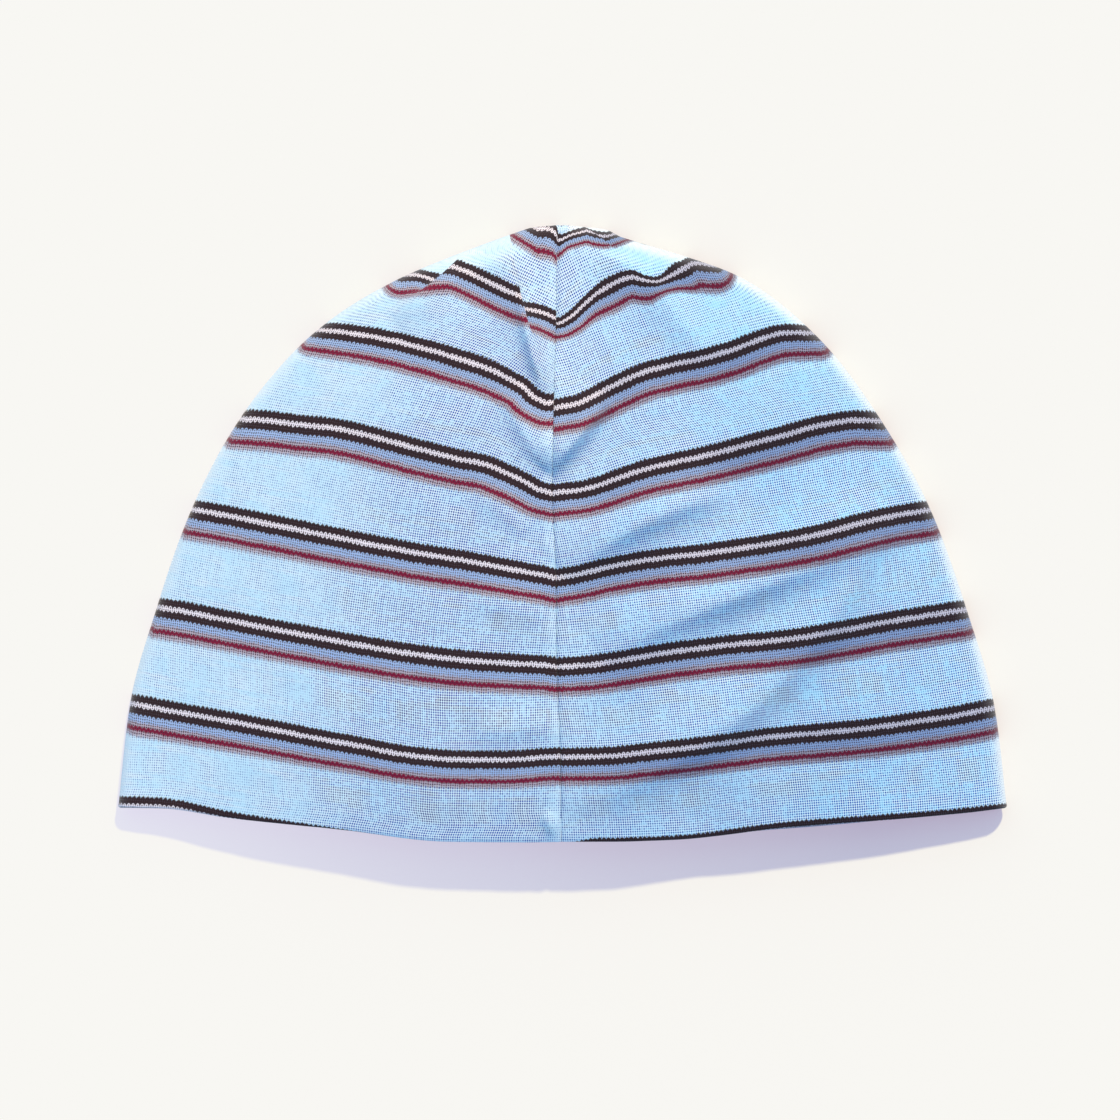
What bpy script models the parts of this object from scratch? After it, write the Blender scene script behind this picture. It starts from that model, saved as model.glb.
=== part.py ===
"""A striped knitted beanie lying flat, as two side panels and the seam that joins them.

The hat lies on its back wall, so +Z is up, +Y points to the crown, the opening faces -Y
and +X is to the right. The origin is on the surface that it lies on, under the middle.
Each panel is one wall of doubled knit. It runs from the centre front seam, round the side
fold, to the centre back seam, and over the crown from the front to the back. Its rows are
the knitted courses on which the stripes lie, counted from 0 at the hem to 8 at the crown.
"""
import math

import bmesh
import bpy
import numpy as np

MM = 0.001

# Driving sizes
WIDTH = 260.0 * MM
LENGTH = 181.0 * MM
WALL = 1.8 * MM
FOLD_RADIUS = 3.0 * MM
DOME_RISE = 18.0 * MM
HEM_ROLL = 0.7 * MM
SEAM_GAP = 0.3 * MM
SEAM_OFFSET = -1.9 * MM
GROOVE_DEPTH = 0.8 * MM
GROOVE_REACH = 2.5 * MM
CREASE_HEIGHT = 3.6 * MM
CREASE_REACH = 13.0 * MM

# The strip of cloth turned under at the seam, wider on the left of it
ALLOWANCE_LEFT = 4.5 * MM
ALLOWANCE_RIGHT = 1.6 * MM
ALLOWANCE_THICKNESS = 1.0 * MM
ALLOWANCE_CLEARANCE = 0.3 * MM
ALLOWANCE_COURSES = (0.2, 6.6)

# Each row is a course. Its heights in plan, from the seam to the side fold, are shares of
# LENGTH from the middle of the hat. Its edge_x is a share of half of WIDTH, its seam_x is the
# seam's shift as a share of the same, its dome is a share of DOME_RISE at the seam, and its
# fold is a share of FOLD_RADIUS.
ROW_COLUMNS = ("course", "seam_x", "seam", "tenth", "quarter", "half",
               "three_quarters", "nine_tenths", "edge", "edge_x", "dome", "fold")
SHARE_COLUMNS = ("seam", "tenth", "quarter", "half", "three_quarters", "nine_tenths", "edge")
ROW_SHARES = (0.0, 0.08, 0.25, 0.5, 0.75, 0.9, 1.0)
LEFT_ROWS = (
    (0, 0.012, -0.497, -0.498, -0.497, -0.477, -0.458, -0.4425, -0.441, -1.000, 0.47, 1.10),
    (1, 0.010, -0.361, -0.363, -0.363, -0.338, -0.305, -0.286, -0.273, -0.973, 0.76, 1.05),
    (2, 0.002, -0.213, -0.211, -0.203, -0.179, -0.148, -0.129, -0.115, -0.912, 0.93, 1.00),
    (3, 0.000, -0.068, -0.061, -0.043, -0.017, 0.013, 0.030, 0.041, -0.835, 1.00, 1.00),
    (4, -0.008, 0.069, 0.082, 0.115, 0.147, 0.173, 0.185, 0.194, -0.720, 0.98, 1.00),
    (5, -0.005, 0.208, 0.224, 0.263, 0.297, 0.318, 0.326, 0.328, -0.556, 0.81, 1.00),
    (6, 0.000, 0.346, 0.358, 0.381, 0.408, 0.417, 0.415, 0.410, -0.378, 0.44, 1.00),
    (7, 0.003, 0.476, 0.479, 0.484, 0.489, 0.493, 0.495, 0.496, -0.071, 0.05, 1.00),
    (8, 0.010, 0.500, 0.500, 0.500, 0.499, 0.499, 0.498, 0.498, -0.052, 0.00, 1.00),
)
RIGHT_ROWS = (
    (0, 0.012, -0.497, -0.497, -0.494, -0.474, -0.460, -0.450, -0.441, 1.000, 0.47, 1.30),
    (1, 0.010, -0.361, -0.360, -0.350, -0.328, -0.311, -0.295, -0.281, 0.973, 0.76, 1.22),
    (2, 0.002, -0.213, -0.209, -0.195, -0.174, -0.149, -0.132, -0.122, 0.910, 0.93, 1.12),
    (3, 0.000, -0.068, -0.060, -0.041, -0.020, 0.008, 0.029, 0.039, 0.829, 1.00, 1.05),
    (4, -0.008, 0.069, 0.076, 0.104, 0.134, 0.166, 0.180, 0.186, 0.716, 0.98, 1.00),
    (5, -0.005, 0.208, 0.217, 0.247, 0.281, 0.311, 0.322, 0.323, 0.569, 0.81, 1.00),
    (6, 0.000, 0.346, 0.360, 0.387, 0.407, 0.422, 0.424, 0.420, 0.389, 0.44, 1.00),
    (7, 0.003, 0.476, 0.480, 0.486, 0.489, 0.488, 0.484, 0.480, 0.134, 0.05, 1.00),
    (8, 0.010, 0.500, 0.500, 0.499, 0.497, 0.495, 0.493, 0.491, 0.106, 0.00, 1.00),
)

# The back wall's hem, in plan, as shares of LENGTH at the same places along the row
BACK_HEM = {
    "left": (-0.482, -0.482, -0.479, -0.463, -0.450, -0.440, -0.441),
    "right": (-0.482, -0.483, -0.487, -0.481, -0.466, -0.452, -0.441),
}

# Creases of the front wall. A crease runs from its start past its middle to its end, given
# as shares of half of WIDTH and of LENGTH. It rises gently on the left of that run and drops
# steeply on its right. Its height, soft and steep are shares of the two crease sizes.
CREASE_COLUMNS = ("name", "start_x", "start_y", "middle_x", "middle_y", "end_x", "end_y",
                  "height", "soft", "steep")
CREASES = (
    ("crown_pleat_left", -0.07, 0.25, -0.098, 0.37, -0.130, 0.51, 1.00, 0.55, 0.20),
    ("crown_tuck_left", -0.260, 0.46, -0.315, 0.390, -0.38, 0.345, 0.90, 0.55, 0.22),
    ("crown_ridge_right", 0.06, 0.50, 0.20, 0.41, 0.37, 0.29, 1.10, 0.45, 0.30),
    ("seam_pull_upper_left", -0.14, 0.215, -0.085, 0.165, -0.045, 0.10, 0.85, 0.65, 0.30),
    ("seam_pull_upper_right", -0.02, 0.10, 0.03, 0.15, 0.11, 0.20, 1.00, 0.65, 0.25),
    ("seam_pull_middle_left", -0.20, 0.07, -0.12, 0.03, -0.04, -0.01, 0.50, 0.80, 0.45),
    ("seam_pull_lower_left", -0.20, -0.12, -0.11, -0.135, -0.04, -0.145, 0.40, 0.80, 0.45),
    ("seam_pull_hem_left", -0.18, -0.335, -0.11, -0.325, -0.03, -0.31, 0.40, 0.80, 0.45),
    ("seam_pull_middle_right", 0.04, -0.05, 0.17, 0.05, 0.44, 0.055, 0.80, 0.85, 0.45),
    ("side_wave_right", 0.15, -0.21, 0.26, -0.09, 0.58, -0.08, 0.85, 0.90, 0.45),
    ("long_wave_right", 0.00, -0.49, 0.48, -0.33, 0.74, -0.02, 0.90, 1.00, 0.50),
    ("hem_dip_right", 0.38, -0.64, 0.31, -0.48, 0.24, -0.34, -0.75, 1.30, 1.10),
)
CREASE_STEPS = 12
CREASE_TAPER = 0.6
CREASE_FADE = 1.6

# The mesh: rows between two courses, shares of a row on each wall, and angles on the fold
ROWS_PER_COURSE = 6
CROWN_COURSES = (7.35, 7.65, 7.87, 8.0)
FRONT_SHARES = (0.0, 0.03, 0.07, 0.12, 0.18, 0.24, 0.30, 0.36, 0.43, 0.50, 0.57, 0.64,
                0.71, 0.79, 0.87, 0.94, 1.0)
BACK_SHARES = (1.0, 0.79, 0.57, 0.30, 0.07, 0.0)
FOLD_ANGLES = (60.0, 30.0, 0.0)
FOLD_SHARE_LIMIT = 0.45
LEAST_FACING = 0.3
ROLL_PLACES = (0.25, 0.75)

HALF_WIDTH = WIDTH / 2


def monotone(knots, values, at):
    """Smooth curve through the values that never swings past them."""
    knots = np.asarray(knots, float)
    values = np.asarray(values, float)
    step = np.diff(knots)
    slope = np.diff(values) / step
    tangent = np.zeros(len(knots))
    tangent[0] = slope[0]
    tangent[-1] = slope[-1]
    for k in range(1, len(knots) - 1):
        if slope[k - 1] * slope[k] > 0:
            first = 2 * step[k] + step[k - 1]
            second = step[k] + 2 * step[k - 1]
            tangent[k] = (first + second) / (first / slope[k - 1] + second / slope[k])
    at = np.clip(np.asarray(at, float), knots[0], knots[-1])
    cell = np.clip(np.searchsorted(knots, at, side="right") - 1, 0, len(knots) - 2)
    width = step[cell]
    a = (at - knots[cell]) / width
    return ((1 + 2 * a) * (1 - a) ** 2 * values[cell] + a * (1 - a) ** 2 * width * tangent[cell]
            + a * a * (3 - 2 * a) * values[cell + 1] + a * a * (a - 1) * width * tangent[cell + 1])


def course_values():
    """The course number of each mesh row, from the hem to the crown."""
    values = [k / ROWS_PER_COURSE for k in range(7 * ROWS_PER_COURSE + 1)]
    return values + list(CROWN_COURSES)


def row_at(rows, course):
    """The table's columns, read at any course by name."""
    knots = [row[0] for row in rows]
    return {name: float(monotone(knots, [row[k] for row in rows], course))
            for k, name in enumerate(ROW_COLUMNS)}


def column_places():
    """The mesh columns from the front seam, round the side fold, to the back seam."""
    front = [("front", share) for share in FRONT_SHARES]
    over = [("front_fold", angle) for angle in FOLD_ANGLES]
    under = [("back_fold", angle) for angle in reversed(FOLD_ANGLES[:-1])]
    back = [("back", share) for share in BACK_SHARES]
    return front + over + under + back


def edge_points(rows, courses):
    """The side fold in plan, a point for each course."""
    points = []
    for course in courses:
        row = row_at(rows, course)
        points.append((row["edge_x"] * HALF_WIDTH, row["edge"] * LENGTH))
    return np.array(points)


def row_share(kind, value, fold_share):
    """How far along its row a mesh column lies, 0 at the seam and 1 at the side fold."""
    if kind in ("front", "back"):
        return value * (1 - fold_share)
    return 1 - fold_share * (1 - math.cos(math.radians(value)))


def row_heights(side, rows, course):
    """Where a course lies in plan at the table's shares, on the front and the back wall."""
    front = np.array([row_at(rows, course)[name] for name in SHARE_COLUMNS])
    hem = np.array([row_at(rows, 0)[name] for name in SHARE_COLUMNS])
    fade = max(1 - course, 0) ** 2
    back = front + fade * (np.array(BACK_HEM[side]) - hem)
    return front * LENGTH, back * LENGTH


def fold_reach(radius, run, outline_run):
    """The share of a row that lies on the side fold, which it may cross at a slant."""
    normal = np.array([outline_run[1], -outline_run[0]])
    length = np.linalg.norm(run)
    facing = abs(run @ normal) / (length * np.linalg.norm(normal))
    return min(radius / max(facing, LEAST_FACING) / length, FOLD_SHARE_LIMIT)


def plan_grid(side, rows, courses):
    """Plan positions of one panel's mesh points, and their shares along the rows."""
    edge = edge_points(rows, courses)
    outline_runs = np.gradient(edge, axis=0)
    places = column_places()
    sign = -1 if side == "left" else 1
    grid = np.zeros((len(courses), len(places), 2))
    shares = np.zeros((len(courses), len(places)))
    for i, course in enumerate(courses):
        row = row_at(rows, course)
        seam_x = SEAM_OFFSET + row["seam_x"] * HALF_WIDTH + sign * SEAM_GAP / 2
        front, back = row_heights(side, rows, course)
        width = edge[i, 0] - seam_x
        run = np.array([width, front[-1] - front[0]])
        fold_share = fold_reach(row["fold"] * FOLD_RADIUS, run, outline_runs[i])
        roll = HEM_ROLL if i == 0 else 0.0
        for j, (kind, value) in enumerate(places):
            share = row_share(kind, value, fold_share)
            heights = back if kind.startswith("back") else front
            shares[i, j] = share
            grid[i, j] = (seam_x + width * share,
                          float(monotone(ROW_SHARES, heights, share)) + roll)
    return grid, shares


def outline_of(plan):
    """The rim in plan: up the side fold, then along the crown to the seam."""
    edge = len(FRONT_SHARES) + len(FOLD_ANGLES) - 1
    crown = plan[-1, :edge][::-1]
    return np.vstack([plan[:, edge], crown])


def distance_to_line(points, line):
    """Distance, place along the line (0 to 1) and side of each point, left being positive."""
    flat = points.reshape(-1, 2)
    best = np.full(len(flat), 1e9)
    place = np.zeros(len(flat))
    side = np.ones(len(flat))
    runs = np.diff(line, axis=0)
    lengths = np.linalg.norm(runs, axis=1)
    before = np.concatenate([[0.0], np.cumsum(lengths)])
    for k, run in enumerate(runs):
        if lengths[k] < 1e-9:
            continue
        offset = flat - line[k]
        a = np.clip(offset @ run / lengths[k] ** 2, 0, 1)
        gap = np.linalg.norm(offset - a[:, None] * run, axis=1)
        turn = run[0] * offset[:, 1] - run[1] * offset[:, 0]
        nearer = gap < best
        best = np.where(nearer, gap, best)
        place = np.where(nearer, (before[k] + a * lengths[k]) / before[-1], place)
        side = np.where(nearer, np.where(turn >= 0, 1.0, -1.0), side)
    shape = points.shape[:-1]
    return best.reshape(shape), place.reshape(shape), side.reshape(shape)


def crease_line(crease):
    """Points of a crease on a smooth curve through its start, middle and end."""
    start = np.array([crease["start_x"] * HALF_WIDTH, crease["start_y"] * LENGTH])
    middle = np.array([crease["middle_x"] * HALF_WIDTH, crease["middle_y"] * LENGTH])
    end = np.array([crease["end_x"] * HALF_WIDTH, crease["end_y"] * LENGTH])
    pull = 2 * middle - (start + end) / 2
    a = np.linspace(0, 1, CREASE_STEPS + 1)[:, None]
    return (1 - a) ** 2 * start + 2 * a * (1 - a) * pull + a * a * end


def crease_relief(points):
    """How far the creases lift the front wall at each plan point."""
    relief = np.zeros(points.shape[:-1])
    for values in CREASES:
        crease = dict(zip(CREASE_COLUMNS, values))
        gap, place, side = distance_to_line(points, crease_line(crease))
        reach = np.where(side > 0, crease["soft"], crease["steep"]) * CREASE_REACH
        taper = np.sin(np.pi * np.clip(place, 0, 1)) ** CREASE_TAPER
        relief += crease["height"] * CREASE_HEIGHT * taper * np.exp(-(gap / reach) ** 2)
    return relief


def outer_grid(side, rows, courses):
    """The panel's outer surface and its plan outline."""
    plan, shares = plan_grid(side, rows, courses)
    outline = outline_of(plan)
    depth = distance_to_line(plan, outline)[0]
    fold = np.array([[row_at(rows, course)["fold"]] for course in courses])
    dome = np.array([[row_at(rows, course)["dome"] * DOME_RISE] for course in courses])
    radius = FOLD_RADIUS * (1 + (fold - 1) * shares ** 2)
    rounding = np.sqrt(1 - (1 - np.clip(depth / radius, 0, 1)) ** 2)
    from_seam = np.abs(plan[:, :, 0] - plan[:, :1, 0])
    groove = GROOVE_DEPTH * np.exp(-(from_seam / GROOVE_REACH) ** 2)
    inland = np.clip((depth / radius - 1) / CREASE_FADE, 0, 1)
    inland = inland * inland * (3 - 2 * inland)
    front = (radius * (1 + rounding) + dome * (1 - shares ** 2)
             + inland * (crease_relief(plan) - groove))
    back = radius * (1 - rounding)
    is_back = np.array([kind.startswith("back") for kind, value in column_places()])
    height = np.where(is_back[None, :], back, front)
    edge = len(FRONT_SHARES) + len(FOLD_ANGLES) - 1
    height[-1] = FOLD_RADIUS
    height[:, edge] = radius[:, edge]
    return np.dstack([plan, height]), outline


def unit(vectors):
    """Vectors scaled to length 1."""
    return vectors / np.maximum(np.linalg.norm(vectors, axis=-1, keepdims=True), 1e-12)


def grid_normals(side, outer, outline):
    """Outward directions of the outer surface, level along the rim and square at the seam."""
    across = np.gradient(outer, axis=1)
    along = np.gradient(outer, axis=0)
    normals = unit(np.cross(across, along))
    if side == "left":
        normals = -normals
    rim = unit(np.gradient(outline, axis=0))
    turn = -1 if side == "left" else 1
    rim_out = np.stack([turn * rim[:, 1], -turn * rim[:, 0], np.zeros(len(rim))], axis=1)
    edge = len(FRONT_SHARES) + len(FOLD_ANGLES) - 1
    rows = len(outer)
    normals[:, edge] = rim_out[:rows]
    for j in range(edge):
        normals[-1, j] = rim_out[rows + edge - 1 - j]
    for j in (0, outer.shape[1] - 1):
        normals[:, j, 0] = 0.0
        normals[:, j] = unit(normals[:, j])
    normals[-1, 0] = (0.0, 1.0, 0.0)
    return normals


def crown_match(places):
    """For each column, the front column whose crown point it shares."""
    front = {place: j for j, place in enumerate(places) if place[0].startswith("front")}
    matches = []
    for kind, value in places:
        wanted = (kind.replace("back", "front"), value)
        matches.append(front[wanted])
    return matches


def skin_faces(mesh, points, match):
    """One skin of the panel, its front and back closed together along the crown."""
    rows, columns = points.shape[:2]
    verts = [[mesh.verts.new(points[i, j]) for j in range(columns)] for i in range(rows - 1)]
    crown = [mesh.verts.new(points[-1, j]) for j in range(max(match) + 1)]
    for i in range(rows - 2):
        for j in range(columns - 1):
            mesh.faces.new((verts[i][j], verts[i][j + 1], verts[i + 1][j + 1], verts[i + 1][j]))
    last = verts[rows - 2]
    for j in range(columns - 1):
        first, second = match[j], match[j + 1]
        step = 1 if second >= first else -1
        tops = [crown[k] for k in range(second, first - step, -step)]
        mesh.faces.new([last[j], last[j + 1]] + tops)
    return verts, crown


def hem_faces(mesh, outer, inner, outer_rows, inner_rows):
    """The rounded folded edge that joins the two skins along the hem."""
    rolls = []
    for j in range(outer.shape[1]):
        down = unit(outer[0, j] - outer[1, j])
        through = inner[0, j] - outer[0, j]
        middle = [mesh.verts.new(outer[0, j] + place * through + down * HEM_ROLL)
                  for place in ROLL_PLACES]
        rolls.append([outer_rows[0][j]] + middle + [inner_rows[0][j]])
    for first, second in zip(rolls, rolls[1:]):
        for k in range(len(first) - 1):
            mesh.faces.new((first[k], first[k + 1], second[k + 1], second[k]))
    return rolls


def seam_faces(mesh, j, outer_rows, inner_rows, outer_crown, inner_crown, roll):
    """The cut edge of the panel that lies against the other panel at the seam."""
    outer_line = [row[j] for row in outer_rows] + [outer_crown]
    inner_line = [row[j] for row in inner_rows] + [inner_crown]
    for i in range(1, len(outer_line) - 1):
        mesh.faces.new((outer_line[i], outer_line[i + 1], inner_line[i + 1], inner_line[i]))
    mesh.faces.new((outer_line[1], outer_line[0], roll[1], roll[2], inner_line[0],
                    inner_line[1]))


def fabric(name, colour, roughness):
    """Knitted cloth of one colour."""
    material = bpy.data.materials.new(name)
    material.use_nodes = True
    shader = material.node_tree.nodes["Principled BSDF"]
    shader.inputs["Base Color"].default_value = (*colour, 1.0)
    shader.inputs["Roughness"].default_value = roughness
    shader.inputs["Metallic"].default_value = 0.0
    return material


def add_object(name, mesh, material):
    """A closed mesh with its faces pointing out, as a named object of one material."""
    bmesh.ops.recalc_face_normals(mesh, faces=mesh.faces)
    data = bpy.data.meshes.new(name)
    mesh.to_mesh(data)
    mesh.free()
    data.materials.append(material)
    data.shade_smooth()
    item = bpy.data.objects.new(name, data)
    bpy.context.scene.collection.objects.link(item)
    return item


def build_panel(side, outer, normals, material):
    """One side panel as a closed wall with its hem, crown fold and seam edges."""
    inner = outer - WALL * normals
    match = crown_match(column_places())
    mesh = bmesh.new()
    outer_rows, outer_crown = skin_faces(mesh, outer, match)
    inner_rows, inner_crown = skin_faces(mesh, inner, match)
    rolls = hem_faces(mesh, outer, inner, outer_rows, inner_rows)
    for j in (0, outer.shape[1] - 1):
        seam_faces(mesh, j, outer_rows, inner_rows, outer_crown[0], inner_crown[0], rolls[j])
    return add_object(f"{side}_panel", mesh, material)


def strip_line(panels, wall, i, depth):
    """A strip's points across the seam at one row, at a depth under the outer surface."""
    line = []
    for side, reach in (("left", ALLOWANCE_LEFT), ("right", ALLOWANCE_RIGHT)):
        outer, normals = panels[side]
        points = (outer - depth * normals)[i]
        if wall == "front":
            points = points[:len(FRONT_SHARES)]
        else:
            points = points[:-len(BACK_SHARES) - 1:-1]
        start = points[0, 0]
        sign = -1 if side == "left" else 1
        stops = [reach, reach / 2, 0.0] if side == "left" else [0.0, reach]
        for stop in stops:
            x = start + sign * stop
            line.append([x] + [float(np.interp(sign * x, sign * points[:, 0], points[:, k]))
                               for k in (1, 2)])
    return np.array(line)


def build_allowance(wall, panels, courses, material):
    """The seam allowance under one wall: a thin strip along the inside of the seam."""
    first_course, last_course = ALLOWANCE_COURSES
    wanted = [i for i, course in enumerate(courses) if first_course <= course <= last_course]
    near = WALL + ALLOWANCE_CLEARANCE
    mesh = bmesh.new()
    rings = []
    for i in wanted:
        top = strip_line(panels, wall, i, near)
        under = strip_line(panels, wall, i, near + ALLOWANCE_THICKNESS)
        rings.append([mesh.verts.new(p) for p in np.vstack([top, under[::-1]])])
    for first, second in zip(rings, rings[1:]):
        for k in range(len(first)):
            n = (k + 1) % len(first)
            mesh.faces.new((first[k], first[n], second[n], second[k]))
    mesh.faces.new(rings[0])
    mesh.faces.new(rings[-1][::-1])
    return add_object(f"{wall}_seam_allowance", mesh, material)


def main():
    """Clear the scene and build the hat."""
    for item in list(bpy.data.objects):
        bpy.data.objects.remove(item, do_unlink=True)
    courses = course_values()
    knit = {
        "left": fabric("left_panel_knit", (0.50, 0.70, 0.90), 0.90),
        "right": fabric("right_panel_knit", (0.45, 0.66, 0.88), 0.90),
    }
    allowance = fabric("seam_allowance_knit", (0.55, 0.72, 0.90), 0.92)
    panels = {}
    for side, rows in (("left", LEFT_ROWS), ("right", RIGHT_ROWS)):
        outer, outline = outer_grid(side, rows, courses)
        normals = grid_normals(side, outer, outline)
        panels[side] = (outer, normals)
        build_panel(side, outer, normals, knit[side])
    for wall in ("front", "back"):
        build_allowance(wall, panels, courses, allowance)


main()
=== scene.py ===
"""Striped knitted beanie laid flat: its two side panels, the seam that joins them and its stage.

The hat lies on its back wall. +Z is up, +Y points to the crown, the opening faces -Y. Its rows
are knitted courses, counted from 0 at the hem; a group of stripes lies at each whole number.
"""
import math

import bmesh
import bpy
import numpy as np
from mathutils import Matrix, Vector, noise


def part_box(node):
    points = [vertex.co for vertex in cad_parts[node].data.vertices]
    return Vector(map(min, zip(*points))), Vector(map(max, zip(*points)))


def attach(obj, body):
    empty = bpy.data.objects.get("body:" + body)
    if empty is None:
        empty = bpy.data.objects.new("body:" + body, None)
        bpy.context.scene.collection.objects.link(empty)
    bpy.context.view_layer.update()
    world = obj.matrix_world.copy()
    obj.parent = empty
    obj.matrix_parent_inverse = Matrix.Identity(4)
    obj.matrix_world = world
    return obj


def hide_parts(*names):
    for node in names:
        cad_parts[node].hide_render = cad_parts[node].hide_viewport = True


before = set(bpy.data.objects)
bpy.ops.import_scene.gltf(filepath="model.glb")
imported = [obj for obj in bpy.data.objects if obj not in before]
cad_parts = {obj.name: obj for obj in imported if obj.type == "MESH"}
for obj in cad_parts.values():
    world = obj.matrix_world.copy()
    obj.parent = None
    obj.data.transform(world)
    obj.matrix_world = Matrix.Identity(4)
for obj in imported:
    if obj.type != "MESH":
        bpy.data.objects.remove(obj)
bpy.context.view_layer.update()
HEM_CORNERS = (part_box("left_panel")[0].x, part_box("right_panel")[1].x)

bl_info = {
    "name": "Striped Beanie",
    "version": (1, 0, 0),
    "blender": (4, 5, 0),
    "location": "View3D > Sidebar > Beanie",
    "description": "Builds a striped knitted beanie laid flat, with its folds, knit and stage",
    "category": "Object",
}

MM = 0.001

# Each row is a course. Its heights in plan, from the seam to the side fold, are shares of the
# length from the middle of the hat. Its edge_x is a share of half of the width, its seam_x is
# the seam's shift as a share of the same, its dome is a share of the dome's rise at the seam,
# and its fold is a share of the side fold's radius.
ROW_COLUMNS = ("course", "seam_x", "seam", "tenth", "quarter", "half",
               "three_quarters", "nine_tenths", "edge", "edge_x", "dome", "fold")
SHARE_COLUMNS = ("seam", "tenth", "quarter", "half", "three_quarters", "nine_tenths", "edge")
ROW_SHARES = (0.0, 0.08, 0.25, 0.5, 0.75, 0.9, 1.0)
ROWS = {
    "left": (
        (0, 0.012, -0.497, -0.498, -0.497, -0.477, -0.458, -0.4425, -0.441, -1.000, 0.47, 1.10),
        (1, 0.010, -0.361, -0.363, -0.363, -0.338, -0.305, -0.286, -0.273, -0.973, 0.76, 1.05),
        (2, 0.002, -0.213, -0.211, -0.203, -0.179, -0.148, -0.129, -0.115, -0.912, 0.93, 1.00),
        (3, 0.000, -0.068, -0.061, -0.043, -0.017, 0.013, 0.030, 0.041, -0.835, 1.00, 1.00),
        (4, -0.008, 0.069, 0.082, 0.115, 0.147, 0.173, 0.185, 0.194, -0.720, 0.98, 1.00),
        (5, -0.005, 0.208, 0.224, 0.263, 0.297, 0.318, 0.326, 0.328, -0.556, 0.81, 1.00),
        (6, 0.000, 0.346, 0.358, 0.381, 0.408, 0.417, 0.415, 0.410, -0.378, 0.44, 1.00),
        (7, 0.003, 0.476, 0.479, 0.484, 0.489, 0.493, 0.495, 0.496, -0.071, 0.05, 1.00),
        (8, 0.010, 0.500, 0.500, 0.500, 0.499, 0.499, 0.498, 0.498, -0.052, 0.00, 1.00),
    ),
    "right": (
        (0, 0.012, -0.497, -0.497, -0.494, -0.474, -0.460, -0.450, -0.441, 1.000, 0.47, 1.30),
        (1, 0.010, -0.361, -0.360, -0.350, -0.328, -0.311, -0.295, -0.281, 0.973, 0.76, 1.22),
        (2, 0.002, -0.213, -0.209, -0.195, -0.174, -0.149, -0.132, -0.122, 0.910, 0.93, 1.12),
        (3, 0.000, -0.068, -0.060, -0.041, -0.020, 0.008, 0.029, 0.039, 0.829, 1.00, 1.05),
        (4, -0.008, 0.069, 0.076, 0.104, 0.134, 0.166, 0.180, 0.186, 0.716, 0.98, 1.00),
        (5, -0.005, 0.208, 0.217, 0.247, 0.281, 0.311, 0.322, 0.323, 0.569, 0.81, 1.00),
        (6, 0.000, 0.346, 0.360, 0.387, 0.407, 0.422, 0.424, 0.420, 0.389, 0.44, 1.00),
        (7, 0.003, 0.476, 0.480, 0.486, 0.489, 0.488, 0.484, 0.480, 0.134, 0.05, 1.00),
        (8, 0.010, 0.500, 0.500, 0.499, 0.497, 0.495, 0.493, 0.491, 0.106, 0.00, 1.00),
    ),
}
LAST_STRIPE = 7

# The crown fold holds a few courses more. The last stripe's line rises past the side fold.
CROWN_COURSES = 0.17
CROWN_RISE = {"left": 0.65, "right": 0.4}

# The back wall's hem in plan, and the course that lies on the front hem, at the same shares
BACK_HEM = {
    "left": (-0.482, -0.482, -0.479, -0.463, -0.450, -0.440, -0.441),
    "right": (-0.482, -0.483, -0.487, -0.4765, -0.4605, -0.449, -0.441),
}
HEM_COURSE = {
    "left": (0.180, 0.180, 0.160, 0.087, 0.022, -0.012, -0.020),
    "right": (0.144, 0.048, 0.039, 0.026, 0.0315, 0.041, 0.044),
}

# How far the pulls in the cloth carry the stripes up in plan, in tenths of a mm, along each
# course. They carry nothing at the hem and at the crown.
SHIFT_SHARES = (0.0, 0.04, 0.08, 0.13, 0.2, 0.25, 0.3, 0.35, 0.4, 0.45, 0.5, 0.55, 0.6, 0.65,
                0.7, 0.75, 0.8, 0.9, 1.0)
SHIFT_STEP = 0.1 * MM
STRIPE_SHIFTS = {
    "left": {
        1: (9, 9, 6, 3, 3, 4, 6, 5, 4, 5, 5, 5, 5, 5, 4, 4, 3, 2, 1),
        2: (1, 6, 6, 6, 5, 5, 5, 5, 4, 4, 4, 4, 4, 3, 2, 2, 2, 2, -4),
        3: (-4, 0, 1, 2, 2, 2, 1, 0, 0, 1, 1, 1, 1, 0, 0, 0, 0, 1, 0),
        4: (-6, -8, 0, 5, 6, 2, -3, -4, -4, -3, -1, 1, 3, 4, 4, 1, -2, -4, -13),
        5: (6, -8, -8, 2, -2, -3, -4, -6, -7, -7, -6, -6, -5, -3, -3, -1, -1, 1, 4),
        6: (5, 5, 3, -1, -11, -12, -13, -12, -11, -9, -6, -2, 0, 2, 1, 2, 4, 10, 16),
        7: (6, 11, 14, 14, 16, 17, 18, 19, 20, 21, 24, 25, 26, 26, 26, 26, 26, 26, 26),
    },
    "right": {
        1: (7, 7, 7, 7, 9, 9, 9, 9, 8, 8, 7, 6, 5, 5, 5, 6, 6, 4, 3),
        2: (1, 0, 0, 2, 5, 7, 8, 8, 8, 6, 3, 1, 0, 1, 2, 3, 4, 2, 2),
        3: (-4, -4, -2, 2, 2, 1, 0, -2, -3, -2, -2, -3, -3, -3, -2, 1, 3, 2, 2),
        4: (-6, -7, -10, -11, -10, -8, -6, -6, -6, -6, -5, -4, -3, -3, -2, 1, 5, 6, -4),
        5: (-11, -13, -16, -14, -9, -6, -2, 0, -2, -4, -7, -11, -12, -12, -9, -4, 1, 6, 4),
        6: (-13, -20, -19, -10, 1, 6, 11, 15, 18, 18, 2, -7, -4, 1, 6, 12, 18, 31, 28),
        7: (-3, -7, -9, -8, -7, -7, -6, -5, -3, 0, -3, -11, -17, -23, -22, -17, -11, 3, 16),
    },
}

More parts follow.
